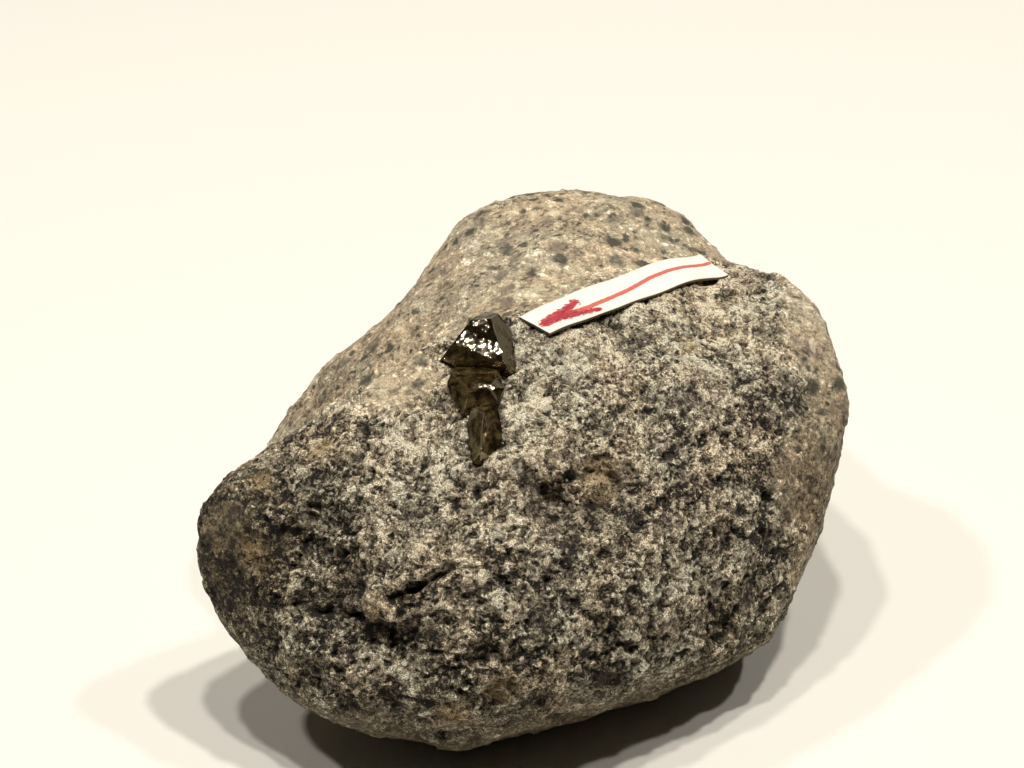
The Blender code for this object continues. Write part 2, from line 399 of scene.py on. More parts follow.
stoneSet = {
    "voxel": 0.45,
    "smoothing": (0.5, 4),  # factor and rounds, once the stone is remeshed
    "pocketReach": 0.7,     # mm from the crystals within which a face that turns to them is the pocket's wall
    "pocketTurn": 0.75,     # cosine between a wall and the way to the crystals
    "mouthNormal": (0, -0.3, 0.95),
    "cutGap": 0.03,         # mm between the crystals and the pocket that is cut for them
    "wornEdge": {           # the worn back and left slope start behind this line: x in mm, y in mm
        "x": (-40, -36, -29, -22, -15, -10, -1, 8, 16, 23, 30, 40),
        "y": (-20, -19, -17, -13, -8, -6, -2, 4, 11, 18, 22, 25),
    },
    "placeReach": 1.35,     # radii of a place from its middle to where it ends
    "places": {             # what stands out, by where the photo shows it: pixel, radius in mm, kind
        "noseInclusion": ((250, 554), 2.0, "rust"),
        "ridgeInclusion": ((262, 483), 1.5, "rust"),
        "bandInclusion": ((322, 449), 1.8, "rust"),
        "middleStain": ((601, 478), 2.6, "rust"),
        "crestStain": ((690, 345), 1.6, "rust"),
        "lowStain": ((500, 690), 2.2, "rust"),
        "underStain": ((455, 712), 2.0, "rust"),
        "toeStain": ((372, 608), 1.6, "rust"),
        "patchByCrystal": ((398, 385), 4.4, "smooth"),
        "noseSkin": ((226, 528), 3.0, "smooth"),
        "noseSide": ((212, 570), 5.0, "polished"),
        "noseTop": ((236, 500), 4.0, "polished"),
        "noseFoot": ((236, 625), 5.0, "polished"),
        "footSide": ((275, 680), 5.0, "polished"),
        "rightSkin": ((824, 350), 6.0, "smooth"),
        "rightLowSkin": ((800, 480), 5.0, "smooth"),
        # the dark places: dark inclusions at noseRing and the ovals, and painted shade in the hollows and on
        # the lower front
        "noseRing": ((238, 570), 3.2, "darkAndShaded"),
        "hollowUpper": ((324, 523), 2.0, "darkAndShaded"),
        "hollowNose": ((294, 547), 2.6, "darkAndShaded"),
        "hollowMiddle": ((557, 510), 2.4, "darkAndShaded"),
        "hollowStain": ((624, 485), 1.8, "darkAndShaded"),
        "hollowLow": ((600, 522), 1.9, "darkAndShaded"),
        "hollowCrest": ((655, 396), 1.4, "darkAndShaded"),
        "hollowCrystal": ((432, 402), 1.2, "darkAndShaded"),
        "hollowFoot": ((352, 603), 2.4, "darkAndShaded"),
        "hollowFoot2": ((300, 604), 1.4, "darkAndShaded"),
        "frontShade": ((415, 645), 3.2, "darkAndShaded"),
        "lowShade": ((480, 655), 1.6, "darkAndShaded"),
        "crestOval": ((568, 376), 1.1, "darkAndShaded"),
        "rightOval": ((768, 332), 1.6, "darkAndShaded"),
        "rightOval2": ((815, 400), 1.9, "darkAndShaded"),
        "paleRight": ((650, 560), 3.0, "pale"),
        "paleLeft": ((468, 590), 3.2, "pale"),
        "paleMiddle": ((395, 438), 2.2, "pale"),
        "paleCrest": ((735, 308), 3.2, "pale"),
        "paleCrestLeft": ((560, 352), 3.6, "pale"),
        "paleLow": ((402, 688), 1.8, "pale"),
        "paleNose": ((300, 575), 2.6, "pale"),
        "palePink": ((715, 645), 1.3, "pale"),
        "palePink2": ((780, 608), 1.2, "pale"),
        "creamCap": ((595, 275), 1.3, "pale"),
        "creamCap2": ((548, 228), 1.4, "pale"),
    },
    "paintedLightAndTones": {              # broad darker (below 0) and paler (above 0) ground, partly painted light on the crest and painted shade on the nose, lower front and sides: pixel, radius in mm, amount
        "nose": ((226, 560), 12, -0.65),
        "noseLow": ((285, 645), 11, 0.05),
        "leftHollow": ((330, 545), 8, -0.20),
        "frontLow": ((470, 680), 13, -0.35),
        "front": ((440, 540), 14, 0.14),
        "centre": ((590, 410), 14, 0.10),
        "middleHollow": ((600, 515), 6, -0.35),
        "rightLow": ((700, 600), 14, -0.05),
        "rightEdge": ((820, 470), 12, -0.45),
        "crestRight": ((705, 320), 13, 0.50),
        "crestLeft": ((560, 345), 8, 0.35),
        "byCrystal": ((420, 375), 7, 0.40),
        "backTop": ((590, 225), 16, 0.05),
        "backLeft": ((450, 285), 12, -0.05),
        "slope": ((330, 390), 10, -0.30),
        "belowCrystal": ((430, 450), 7, 0.20),
    },
    "lines": {              # cracks and edges: the pixels they pass through, width and height in mm
        "ledgeCrack": (((386, 600), (402, 592), (425, 582), (449, 568)), 0.55, -0.75),
        "ledgeLip": (((380, 588), (402, 578), (425, 569), (452, 556)), 1.2, 0.55),
        "toeCrack": (((318, 612), (340, 612), (362, 619), (388, 629)), 0.7, -0.8),
        "toeLip": (((350, 602), (372, 606), (393, 614)), 0.9, 0.50),
        "terraceEdge": (((251, 492), (285, 481), (312, 470), (337, 459)), 0.7, 0.45),
        "terraceFoot": (((258, 500), (290, 489), (318, 477), (340, 467)), 1.0, -0.45),
        "noseFold": (((236, 505), (262, 512), (280, 522)), 1.0, 0.35),
        "rightVein": (((775, 470), (795, 487), (820, 510)), 0.6, 0.25),
        "lowCrease": (((300, 660), (315, 672), (322, 690)), 0.8, -0.5),
        "middleGroove": (((520, 470), (545, 492), (565, 508)), 1.1, -0.6),
    },
}


def closePocket(bm, settings):
    # takes out the pocket's walls and closes its mouth
    plain = nodeCopy("diamond")
    near = BVHTree.FromBMesh(plain)
    plain.free()
    walls = []
    for face in bm.faces:
        middle = face.calc_center_median()
        touch, _, _, away = near.find_nearest(middle)
        turned = (touch - middle).dot(face.normal) > settings["pocketTurn"] * away
        if away < settings["pocketReach"] * mm and turned:
            walls.append(face)
    bmesh.ops.delete(bm, geom=walls, context="FACES")
    rim = [edge for edge in bm.edges if edge.is_boundary]
    bmesh.ops.triangle_fill(bm, use_beauty=True, edges=rim, normal=settings["mouthNormal"])
    bmesh.ops.recalc_face_normals(bm, faces=bm.faces)
    print("pocket walls", len(walls), "open edges left", sum(edge.is_boundary for edge in bm.edges))


def makeStone(settings):
    # the pocket is cut again to the crystals once the rock has its grain
    bm = nodeCopy("kimberlite_stone")
    closePocket(bm, settings)
    piece = pieceFrom(bm, "kimberliteRock")
    even = piece.modifiers.new("even", "REMESH")
    even.mode = "VOXEL"
    even.voxel_size = settings["voxel"] * mm
    soften = piece.modifiers.new("soften", "SMOOTH")
    soften.factor, soften.iterations = settings["smoothing"]
    bakeModifiers(piece)
    print("rock points", len(piece.data.vertices))
    return piece


stone = makeStone(stoneSet)

wearSet = {                 # where the cobble is worn: from, to, and how much there, from 0 to 1
    "border": (0.16, (3, 1, 7), 3),     # noise that moves these borders: per mm, its offset, and mm
    "behindEdge": (-0.5, 4.5, 0.8),     # mm behind wornEdge
    "rightSide": (28, 34, 0.8),         # x in mm
    "noseEnd": (-27, -33, 0.25),        # x in mm
    "underside": (-0.1, -0.6, 0.55),    # how far the surface faces up
    "skin": (1.6, 0.85),    # gain and amount on the smooth places
    "polish": (1.3, 0.65),  # gain and amount on the polished places, which are only less rough
}

reliefSet = {               # patterns are noise per mm, its offset where it has one, and a height in mm
    "swirl": (0.7, 0.7),    # pushes the other patterns about
    "lumps": 0.16,
    "lumpLayers": (1.0, 2.0, 3),
    "lumpHeight": (0.30, 0.28),         # everywhere, and more on broken ground
    "planes": ((0.30, (2, 5, 1), 0.55), (0.72, (8, 3, 6), 0.42)),
    "planeSpread": 9.7,     # tells one plane's tilt from the next
    "grain": (1.3, 0.22),
    "fineGrain": (2.2, 0.12),
    "fineOnWorn": 0.16,     # of the planes and grain that worn ground keeps
    "pits": {
        "scale": 0.34, "offset": (0, 0, 0), "spread": 3.1, "edge": (0.44, 0.14), "share": (0.35, 0.5),
        "depth": 0.62, "onWorn": 0.1,
    },
    "smallPits": {
        "scale": 0.75, "offset": (5, 5, 5), "spread": 2.7, "edge": (0.46, 0.15), "share": (0.1, 0.3),
        "depth": 0.34, "onWorn": 0.2,
    },
    "hollow": (1.3, 0.75),  # gain and depth of the dark places
    "hollowUneven": (0.7, 1.2),
    "crackUneven": 0.6,
    "swell": 0.12,          # mm that the whole surface is moved out, to make up for the pits
    "shadeOfFine": (0.5, 0.9),          # the relief that the material reads
    "shadeOfPits": (0.25, 0.6),         # pits on worn ground, and small pits, as the material reads them
    "lipShade": 1.1,        # mm of a line's height that the material reads as 1
}


def awayFromPixel(tree, places, pixel, radius):
    # distance of each place from the point that the photo shows at a pixel, in radii
    return np.linalg.norm(places - seenAt(tree, pixel), axis=1) / radius


def markPlaces(tree, places, settings):
    masks = {kind: np.zeros(len(places)) for kind in ("rust", "smooth", "polished", "darkAndShaded", "pale")}
    for pixel, radius, kind in settings["places"].values():
        away = awayFromPixel(tree, places, pixel, radius)
        masks[kind] = np.maximum(masks[kind], np.clip(settings["placeReach"] - away, 0, 1))
    return masks


def carveLines(tree, places, settings):
    # the height in mm that cracks and edges add to each place
    carved = np.zeros(len(places))
    for pixels, width, height in settings["lines"].values():
        ends = [seenAt(tree, pixel) for pixel in pixels]
        away = np.min([awayFromLine(places, a, b) for a, b in zip(ends, ends[1:])], axis=0)
        carved += height * np.exp(-(away / width) ** 2)
    return carved


def paintLightAndTone(tree, places, settings):
    # paler and darker ground by place: partly the rock's own tone, partly painted light on the crest and
    # painted shade on the front and sides
    paintedLightAndTone = np.zeros(len(places))
    for pixel, radius, amount in settings["paintedLightAndTones"].values():
        paintedLightAndTone += amount * np.exp(-awayFromPixel(tree, places, pixel, radius) ** 2)
    return paintedLightAndTone


def wearAt(p, up, behind, smooth, settings):
    # 0 where the rock is freshly broken, and towards 1 where it is worn
    scale, offset, reach = settings["border"]
    moved = reach * noise.noise(p * scale + Vector(offset))
    borders = (("behindEdge", behind + moved), ("rightSide", p.x + moved), ("noseEnd", p.x + moved),
               ("underside", up))
    gain, amount = settings["skin"]
    worn = min(1, smooth * gain) * amount
    for name, value in borders:
        low, high, most = settings[name]
        worn = max(worn, smoothstep(low, high, value) * most)
    return worn


def tilted(place, scale, offset, spread):
    # broken ground: each cell of about 1/scale mm is a small plane with a tilt of its own
    inCells = place * scale + Vector(offset)
    middle = noise.voronoi(inCells)[1][0]
    lean = noise.cell_vector(middle * spread) - Vector((0.5, 0.5, 0.5))
    return (inCells - middle).dot(lean) * 2


def pitAt(place, pits):
    # 1 in the middle of a pit and 0 away from it; only a share of the cells has one
    away, points = noise.voronoi(place * pits["scale"] + Vector(pits["offset"]))
    pick = noise.cell(points[0] * pits["spread"])
    return smoothstep(*pits["edge"], away[0]) * smoothstep(*pits["share"], pick)


def onGround(rough, floor):
    # all of something on broken ground, and only the floor's share of it on the most worn
    return floor + (1 - floor) * rough


def reliefAt(p, rough, hollow, carved, settings):
    # the height in mm of one place, and the relief and cavity that the material reads; from these it paints
    # the low ground darker and the pits and cracks black, as painted shade
    scale, amount = settings["swirl"]
    q = p + noise.noise_vector(p * scale) * amount
    everywhere, more = settings["lumpHeight"]
    lumps = noise.fractal(q * settings["lumps"], *settings["lumpLayers"]) * (everywhere + more * rough)
    broken = sum(height * tilted(q, scale, offset, settings["planeSpread"])
                 for scale, offset, height in settings["planes"])
    coarse, coarseHeight = settings["grain"]
    tiny, tinyHeight = settings["fineGrain"]
    grain = noise.noise(q * coarse) * coarseHeight + noise.noise(p * tiny) * tinyHeight
    fine = (broken + grain) * onGround(rough, settings["fineOnWorn"])
    large, small = settings["pits"], settings["smallPits"]
    pit, smallPit = pitAt(q, large), pitAt(q, small)
    deep = large["depth"] * pit * onGround(rough, large["onWorn"])
    deep += small["depth"] * smallPit * onGround(rough, small["onWorn"])
    gain, depth = settings["hollow"]
    even, uneven = settings["hollowUneven"]
    deep += depth * min(1, hollow * gain) * (even + uneven * grain)
    line = carved * (1 + settings["crackUneven"] * grain)
    base, share = settings["shadeOfFine"]
    wornPits, smallPits = settings["shadeOfPits"]
    cavityShade = pit * onGround(rough, wornPits) + smallPits * smallPit * rough
    cavityShade += max(0, -carved / settings["lipShade"])
    return lumps + fine - deep + line + settings["swell"], base + share * fine, min(1, cavityShade)


def roughen(piece, settings, wear, relief):
    mesh = piece.data
    count = len(mesh.vertices)
    corners = np.empty(count * 3, np.float32)
    normals = np.empty(count * 3, np.float32)
    mesh.vertices.foreach_get("co", corners)
    mesh.vertex_normals.foreach_get("vector", normals)
    corners = corners.reshape(-1, 3)
    normals = normals.reshape(-1, 3)
    places = corners / mm
    tree = BVHTree.FromPolygons([v.co for v in mesh.vertices], [p.vertices for p in mesh.polygons])
    masks = markPlaces(tree, places, settings)
    carved = carveLines(tree, places, settings)
    edge = settings["wornEdge"]
    behind = places[:, 1] - np.interp(places[:, 0], edge["x"], edge["y"])
    gain, amount = wear["polish"]
    polish = 1 - amount * np.minimum(1, gain * masks["polished"])
    worn = np.zeros(count)
    heights = np.zeros((count, 3))
    for i in range(count):
        p = Vector(places[i])
        worn[i] = wearAt(p, normals[i][2], behind[i], masks["smooth"][i], wear)
        heights[i] = reliefAt(p, (1 - worn[i]) * polish[i], masks["darkAndShaded"][i], carved[i], relief)
    corners += normals * (heights[:, 0] * mm)[:, None].astype(np.float32)
    corners[:, 2] = np.maximum(corners[:, 2], 0)
    mesh.vertices.foreach_set("co", corners.ravel())
    mesh.update()
    # relief and cavity are read by the material as painted shade of the low ground, the pits and the cracks
    writeLayer(mesh, "relief", heights[:, 1])
    writeLayer(mesh, "cavityShade", heights[:, 2])
    writeLayer(mesh, "worn", worn)
    writeLayer(mesh, "edged", np.clip(carved / relief["lipShade"], 0, 1))
    writeLayer(mesh, "paintedLightAndTone", paintLightAndTone(tree, places, settings))
    for kind in ("rust", "darkAndShaded", "pale"):
        writeLayer(mesh, kind, masks[kind])


roughen(stone, stoneSet, wearSet, reliefSet)


def cutPocket(piece, growth):
    cutter = grownCrystals("pocketCutter", growth)
    cut = piece.modifiers.new("pocket", "BOOLEAN")
    cut.operation = "DIFFERENCE"
    cut.object = cutter
    cut.solver = "EXACT"
    bakeModifiers(piece)
    bpy.data.objects.remove(cutter)


cutPocket(stone, diamondSet["fit"] + stoneSet["cutGap"])
print("rock triangles", sum(len(p.vertices) - 2 for p in stone.data.polygons))

kimberliteLook = {
    "ground": (0.49, 0.410, 0.300),
    "shade": (0.130, 0.108, 0.080),
    "cream": (1.0, 0.905, 0.74),
    "black": (0.015, 0.012, 0.010),
    "green": (0.050, 0.050, 0.038),
    "violet": (0.15, 0.116, 0.098),
    "rust": (0.49, 0.350, 0.180),
    "olive": (0.088, 0.070, 0.035),
    # film darkens and dust pales the ground with the tone, partly as painted shade and painted light; dust
    # also makes the pale blebs
    "darkening": (0.34, 0.285, 0.200),
    "dustAndPaintedLight": (0.82, 0.715, 0.51),
    "warmTint": (1.04, 0.99, 0.92),
    "coolTint": (0.97, 1.00, 0.975),
    "ragged": (2.6, 0.6),   # noise that pushes the grains about: per mm, and mm
    "fibreWarp": (1.3, 1.3),
    "unevenWarps": ((0.5, 1.5), (1.8, 0.7)),
    "grains": {"bigGrain": (1.3, 0), "smallGrain": (2.7, 1)},   # cells per mm, and the channel read
    "waves": {              # noise: its offset in mm, waves per mm, detail and roughness
        "fibre": ((0, 0, 0), 1.9, 6, 0.76),
        "speck": ((7, 30, 2), 3.6, 3, 0.6),
        "patches": ((0, 0, 0), 0.22, 4, 0.6),
        "tint": ((9, 70, 31), 0.12, 3, 0.6),
        "hue": ((50, 20, 9), 0.22, 3, 0.6),
        "grit": ((0, 0, 0), 6.5, 2, 0.6),
    },
    "spots": {              # scattered spots: offset in mm, cells per mm, share of cells, where they fade
        "large": ((0, 0, 0), 0.30, 0.20, (0.48, 0.20)),
        "minor": ((40, 3, 17), 0.62, 0.25, (0.52, 0.20)),
        "brown": ((70, 41, 5), 0.30, 0.12, (0.50, 0.20)),
        "blebs": ((11, 60, 23), 0.36, 0.20, (0.50, 0.15)),
        # the black pit spots are partly dark grains and partly painted shade of small pits
        "pitShadeSpots": ((21, 8, 44), 0.95, 0.30, (0.38, 0.16)),
        "crumbs": ((5, 33, 61), 1.15, 0.22, (0.36, 0.16)),
    },
    "weights": {            # what makes the ground's shade, relief painting the low ground darker as painted shade; the sum lies about middle
        "bigGrain": 0.24, "smallGrain": 0.24, "fibre": 1.10, "speck": 0.55, "relief": 0.36,
        "patches": 0.62, "pale": 0.07, "edged": 0.08, "paintedLightAndTone": 0.16,
    },
    "middle": 1.583,
    # soft steps: from, to, and the amounts at both where they aren't 0 and 1
    "spread": (0, 0.9, 1.05, 0.46),     # worn ground keeps only the middle of the shades
    "toGround": (-0.19, 0.09),
    "toCream": (0.05, 0.17),
    "toBlack": (-0.09, -0.20, 0, 0.92),
    "toCool": (0.40, 0.60),
    "toViolet": (0.54, 0.66, 0, 0.40),
    "greenByWear": (0, 0.8, 0.15, 0.92),
    "brownByWear": (0, 0.8, 0.15, 0.75),
    "toShadeAndFilm": (0.0, -0.70),
    "shadeAndFilmOnPale": (0, 1, 1.0, 0.65),
    "toDustAndLight": (0.20, 0.95, 0, 0.30),
    "toOlive": (17, 3, 0, 0.85),        # mm above the table
    "toRust": (0.40, 0.50),
    "toBroken": (0.5, 0.1),
    "crumbsByLightAndTone": (-0.4, 0.1, 0.18, 0.85),
    "gritRange": (0.28, 0.72, 0.36, 1.68),
    "gritByWear": (0, 0.8, 1.0, 0.45),
    "roughnessByWear": (0, 1, 0.85, 0.68),
    "bumpByWear": (0, 0.8, 1.0, 0.28),
    # plain amounts
    "blebAmount": 0.60,
    "filmAndDustFibre": 1.6,
    "oliveFibre": 34.0,     # mm that the fibres move the olive film's upper border
    "rustAmount": 0.66,
    "darkAndShadedAmount": 0.40,
    "cavityShadeAmount": 0.88,
    "pitShadeAmount": 0.94,
    "specular": 0.3,
    "bumpWeights": {"fibre": 1.1, "smallGrain": 0.20, "speck": 0.45},
    "bumpDepth": 0.7,       # mm
}


def rockPatterns(tree, look):
    # every value that the rock's colour and bump are made of, by name
    place = inMillimetres(tree)
    ragged = warped(tree, place, *look["ragged"])
    woven = warped(tree, place, *look["fibreWarp"])
    seen = {name: attribute(tree, name)
            for name in ("worn", "relief", "cavityShade", "edged", "paintedLightAndTone", "rust", "darkAndShaded", "pale")}
    for name, (scale, channel) in look["grains"].items():
        seen[name] = separated(tree, cellsNode(tree, ragged, scale).outputs["Color"], channel)
    for name, wave in look["waves"].items():
        under = {"fibre": woven, "speck": ragged}.get(name, place)
        seen[name] = waveNode(tree, under, wave)
    uneven = place
    for warp in look["unevenWarps"]:
        uneven = warped(tree, uneven, *warp)
    for name, spots in look["spots"].items():
        seen[name] = spotsNode(tree, uneven, *spots)
    seen["height"] = separatedPlace(tree, place, "Z")
    return seen


def spotsNode(tree, place, offset, scale, share, fade):
    # a share of the cells has a spot in its middle
    cells = cellsNode(tree, vectorMath(tree, "ADD", place, offset), scale)
    pick = separated(tree, cells.outputs["Color"], 0)
    chosen = between(tree, pick, share + 0.02, share)
    return times(tree, chosen, between(tree, cells.outputs["Distance"], *fade))


def groundColour(tree, look, seen):
    # grains tile the ground, each with a shade of its own, and fibres of noise break them up; the relief adds
    # painted shade and the tone painted light and shade
    shade = calc(tree, "SUBTRACT", weighted(tree, seen, look["weights"]), look["middle"])
    calm = times(tree, shade, between(tree, seen["worn"], *look["spread"]))
    colour = blendColours(tree, between(tree, calm, *look["toGround"]), look["shade"], look["ground"])
    light = between(tree, calm, *look["toCream"])
    colour = blendColours(tree, light, colour, look["cream"])
    colour = blendColours(tree, between(tree, calm, *look["toBlack"]), colour, look["black"])
    tint = between(tree, seen["tint"], *look["toCool"])
    tint = blendColours(tree, tint, look["warmTint"], look["coolTint"])
    colour = blendColours(tree, 1.0, colour, tint, "MULTIPLY")
    colour = blendColours(tree, between(tree, seen["hue"], *look["toViolet"]), colour, look["violet"])
    return colour, light


def withInclusions(tree, look, seen, colour):
    # dark green-grey, brown and pale inclusions, plainest on the worn ground
    green = calc(tree, "MAXIMUM", seen["large"], seen["minor"])
    green = times(tree, green, between(tree, seen["worn"], *look["greenByWear"]))
    colour = blendColours(tree, green, colour, look["green"])
    brown = times(tree, seen["brown"], between(tree, seen["worn"], *look["brownByWear"]))
    colour = blendColours(tree, brown, colour, look["violet"])
    blebs = times(tree, seen["blebs"], times(tree, seen["worn"], look["blebAmount"]))
    return blendColours(tree, blebs, colour, look["dustAndPaintedLight"])


def withFilmsShadeAndLight(tree, look, seen, colour, light):
    # a dark film leaves the palest grains showing: partly random, partly painted shade where the tone is low;
    # dust pales the ground where the tone is high, partly painted light; and the ground goes dark olive
    # towards the table
    shadeLightAndFilm = calc(tree, "ADD", centred(tree, seen["fibre"], look["filmAndDustFibre"]), seen["paintedLightAndTone"])
    shadeAndFilm = times(tree, between(tree, shadeLightAndFilm, *look["toShadeAndFilm"]), between(tree, light, *look["shadeAndFilmOnPale"]))
    colour = blendColours(tree, shadeAndFilm, colour, look["darkening"], "MULTIPLY")
    colour = blendColours(tree, between(tree, shadeLightAndFilm, *look["toDustAndLight"]), colour, look["dustAndPaintedLight"])
    darkening = calc(tree, "ADD", centred(tree, seen["fibre"], look["oliveFibre"]), seen["height"])
    return blendColours(tree, between(tree, darkening, *look["toOlive"]), colour, look["olive"])


def withStainsAndShade(tree, look, seen, colour):
    rust = times(tree, seen["rust"], between(tree, seen["fibre"], *look["toRust"]))
    colour = blendColours(tree, times(tree, rust, look["rustAmount"]), colour, look["rust"])
    # black from the dark places and the cavities: partly dark inclusions and minerals, partly painted shade
    # in the hollows, pits and cracks
    darkAndShaded = times(tree, seen["darkAndShaded"], look["darkAndShadedAmount"])
    darkAndShaded = calc(tree, "MAXIMUM", darkAndShaded, times(tree, seen["cavityShade"], look["cavityShadeAmount"]))
    return blendColours(tree, darkAndShaded, colour, look["black"])


def withFreshGrain(tree, look, seen, colour):
    # small black pits, partly dark grains and partly painted shade of pits, and cream crystals on the broken
    # ground, and grit that keeps all of it from going flat
    broken = between(tree, seen["worn"], *look["toBroken"])
    pits = times(tree, seen["pitShadeSpots"], times(tree, broken, look["pitShadeAmount"]))
    colour = blendColours(tree, pits, colour, look["black"])
    crumbs = times(tree, seen["crumbs"], between(tree, seen["paintedLightAndTone"], *look["crumbsByLightAndTone"]))
    colour = blendColours(tree, times(tree, crumbs, broken), colour, look["cream"])
    grit = between(tree, seen["grit"], *look["gritRange"])
    grit = blendColours(tree, between(tree, seen["worn"], *look["gritByWear"]), (1, 1, 1), grit)
    return blendColours(tree, 1.0, colour, grit, "MULTIPLY")


def kimberliteMaterial(look):
    material, tree, shader = newMaterial("kimberlite rock")
    seen = rockPatterns(tree, look)
    colour, light = groundColour(tree, look, seen)
    colour = withInclusions(tree, look, seen, colour)
    colour = withFilmsShadeAndLight(tree, look, seen, colour, light)
    colour = withStainsAndShade(tree, look, seen, colour)
    colour = withFreshGrain(tree, look, seen, colour)
    put(tree, shader.inputs["Base Color"], colour)
    put(tree, shader.inputs["Roughness"], between(tree, seen["worn"], *look["roughnessByWear"]))
    shader.inputs["Specular IOR Level"].default_value = look["specular"]
    lift = weighted(tree, seen, look["bumpWeights"])
    lift = times(tree, lift, between(tree, seen["worn"], *look["bumpByWear"]))
    put(tree, shader.inputs["Normal"], bumpNode(tree, lift, look["bumpDepth"] * mm))
    return material


stone.data.materials.clear()
stone.data.materials.append(kimberliteMaterial(kimberliteLook))
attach(stone, "root")
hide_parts("kimberlite_stone")

diamondLook = {
    "deep": (0.034, 0.021, 0.007),
    "clear": (0.42, 0.30, 0.125),
    "glossTint": (1.0, 0.86, 0.62),
    "ior": 2.42,
    "transmission": 0.85,
    "cloudWarp": (0.7, 1.2),        # noise per mm, and mm that it pushes the clouds about
    "clouds": (0.9, 4, 0.6),        # per mm, detail and roughness
    "toClear": (0.38, 0.66),
    "toPaintedDarkTop": (40.8, 42.6, 0, 0.92),    # mm above the table, and how dark the top crystal is painted there, as painted shade
    "roughness": (0, 0.6, 0.05, 0.10),  # from the clean facets to the broken steps
    "stepWarp": (1.5, 0.5),
    "stepSize": 2.8,                # steps per mm
    "stepTilt": (0.80, 0.25, 0.10), # how far steps differ: sideways, front to back, up
    "stepFacing": (0.0, -0.487, 0.866),
    "brokenShare": 0.80,            # of the steps in a broken place
    "toBroken": (0.30, 0.45),
    "etchWarp": (1.2, 0.8),
    "etch": (1.9, 3, 0.55),
    "etchDepth": 0.02,              # mm
}


def steppedNormal(tree, place, ripple, look):
    # broken growth steps: each cell is a small flat that faces its own way
    cells = cellsNode(tree, warped(tree, place, *look["stepWarp"]), look["stepSize"])
    lean = vectorMath(tree, "SUBTRACT", cells.outputs["Color"], (0.5, 0.5, 0.5))
    lean = vectorMath(tree, "MULTIPLY", lean, look["stepTilt"])
    lean = vectorMath(tree, "ADD", lean, look["stepFacing"])
    facing = surfaceNormal(tree)
    turn = vectorMath(tree, "SUBTRACT", lean, facing)
    chosen = separated(tree, cells.outputs["Color"], 2)
    chosen = between(tree, chosen, look["brokenShare"] + 0.02, look["brokenShare"])
    amount = times(tree, chosen, between(tree, ripple, *look["toBroken"]))
    turned = vectorMath(tree, "ADD", facing, vectorMath(tree, "SCALE", turn, amount))
    return vectorMath(tree, "NORMALIZE", turned, (0, 0, 0))


def diamondMaterial(look):
    material, tree, shader = newMaterial("brown diamond")
    shader.inputs["IOR"].default_value = look["ior"]
    shader.inputs["Transmission Weight"].default_value = look["transmission"]
    shader.inputs["Specular Tint"].default_value = (*look["glossTint"], 1)
    place = inMillimetres(tree)
    clouds = noiseNode(tree, warped(tree, place, *look["cloudWarp"]), *look["clouds"])
    colour = blendColours(tree, between(tree, clouds, *look["toClear"]), look["deep"], look["clear"])
    # the top crystal is darker higher up: painted shade
    height = separatedPlace(tree, place, "Z")
    colour = blendColours(tree, between(tree, height, *look["toPaintedDarkTop"]), colour, look["deep"])
    put(tree, shader.inputs["Base Color"], colour)
    ripple = attribute(tree, "ripple")
    put(tree, shader.inputs["Roughness"], between(tree, ripple, *look["roughness"]))
    stepped = steppedNormal(tree, place, ripple, look)
    etch = noiseNode(tree, warped(tree, place, *look["etchWarp"]), *look["etch"])
    put(tree, shader.inputs["Normal"], bumpNode(tree, etch, look["etchDepth"] * mm, normal=stepped))
    return material


diamond.data.materials.clear()
diamond.data.materials.append(diamondMaterial(diamondLook))
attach(diamond, "root")
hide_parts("diamond")

print("card strip")

cardSet = {                 # along and across the strip in mm, from the middle of its left end
    "start": (0.388, -5.429),
    "end": (22.788, 16.171),
    "halfWidth": (2.5, 2.95),
    "length": 31.1,
    "shaft": ((4.9, -0.50), (8.3, -0.80), (13.7, -0.55), (19.8, 0.35), (25.2, 0.35), (31.0, 0.72)),
    "shaftWidth": (0.43, 0.26),         # mm from its middle to where the ink ends, and to where it is full
    "shaftCover": 0.92,
    "head": (((1.1, -0.62), (4.3, -0.10), 0.78), ((4.3, -0.10), (7.5, 0.85), 0.62),
             ((3.6, -0.55), (8.8, -1.72), 0.50), ((2.4, -0.55), (5.6, -0.75), 0.85)),
    "headEdge": (0.12, -0.16),          # mm past a stroke's half width: where ink ends, where it is full
    "headCore": (-0.30, -0.55, 0, 0.55),
    "paper": (0.72, 0.69, 0.635),
    "worn": (0.50, 0.43, 0.33),
    # under is the colour of the thin sides and the back, partly raw board and partly painted shade
    "under": (0.16, 0.12, 0.08),
    "shaftInk": (0.46, 0.058, 0.036),
    "headInk": (0.27, 0.012, 0.028),
    "headInkPale": (0.46, 0.072, 0.062),
    "fibre": (2.2, 4, 0.65),            # noise per mm, detail and roughness
    "mottle": (0.35, 3, 0.6),
    "fibreShade": (0.35, 0.65, 0.0, 0.10),
    "mottleShade": (0.45, 0.7, 0, 0.12),
    "edgeTan": (-0.30, 0.12, 0, 0.55),  # mm past the strip's half width: from, to, and the amounts there
    "edgeRagged": 0.25,
    "shaftRagged": 0.35,
    "streaks": ((0.35, 2.6, 1), 1.4, 3, 0.6),       # squeeze along and across, then as for fibre
    "streakShade": (0.42, 0.66),
    "frays": ((1.0, 2.2, 1), 1.7, 3, 0.65),
    "frayed": 1.9,
    "toUnderShade": (0.45, 0.2),             # by how far the surface faces up
    "roughness": 0.78,
    "bump": (0.05, 0.5),                # mm, strength
}


